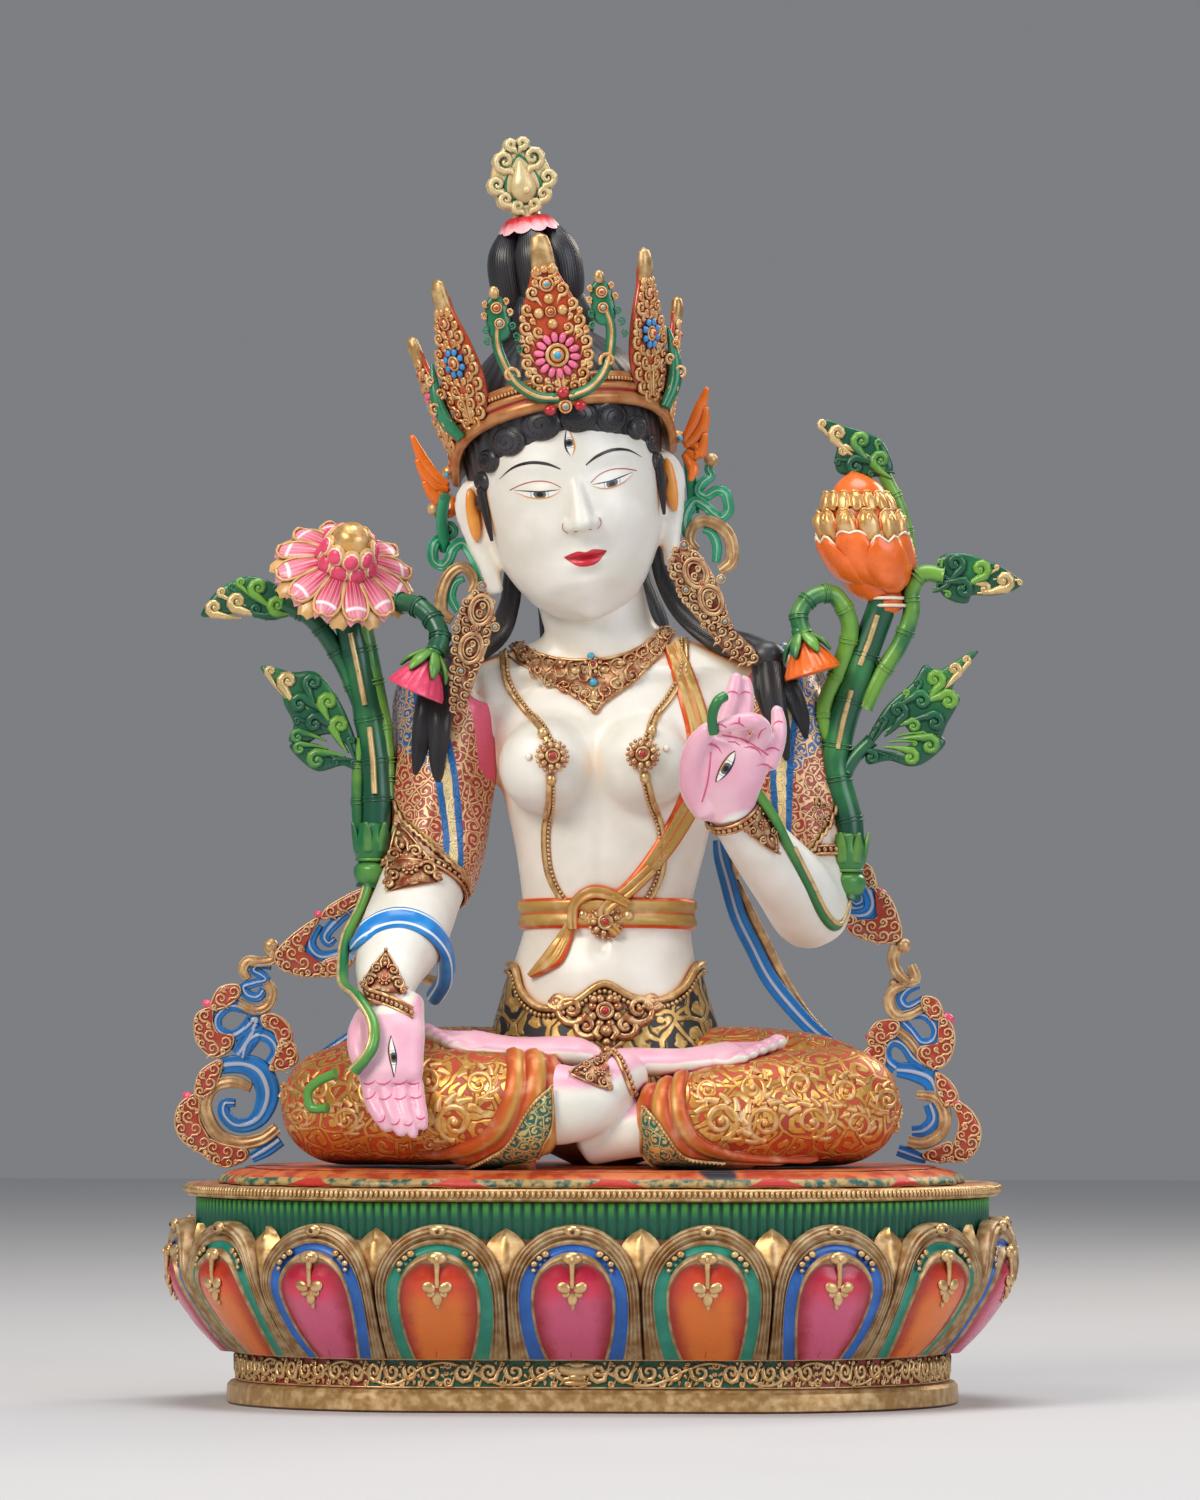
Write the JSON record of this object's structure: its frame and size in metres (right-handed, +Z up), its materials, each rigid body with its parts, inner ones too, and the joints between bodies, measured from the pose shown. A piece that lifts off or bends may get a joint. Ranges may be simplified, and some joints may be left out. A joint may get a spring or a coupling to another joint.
{
  "type": "seated goddess statue",
  "caption": "Painted cast statue of a crowned goddess seated cross-legged on an oval lotus pedestal, with lotus stems at both shoulders and curling scarves.",
  "frame": {"origin": "centre of the pedestal's underside, on the surface it stands on", "axes": "+Z up through the crest jewel, -Y the way the figure faces, +X to the viewer's right, which is her left"},
  "size_m": [0.3058, 0.2, 0.4565],
  "materials": {
    "pedestal_paint": "enamel petals in red, orange, blue and green with worn gold edges",
    "skin_paint": "satin cream-white enamel with gilded and painted cloth",
    "crown_gilding": "gilded scrolls on orange enamel",
    "jewel_gilding": "worn gilding with green washed hollows",
    "earring_gilding": "copper-red gilding, polished on the high points",
    "stem_paint": "glossy green enamel with gold edges",
    "scarf_paint": "blue and white enamel with copper-red gilding"
  },
  "bodies": {
    "root": {"lotus_base": "pedestal_paint", "figure": "skin_paint", "crown": "crown_gilding", "crest_jewel": "jewel_gilding", "earring_right": "earring_gilding", "earring_left": "earring_gilding", "lotus_spray_right": "stem_paint", "lotus_spray_left": "stem_paint", "scarf_right": "scarf_paint", "scarf_left": "scarf_paint"}
  },
  "joints": []
}
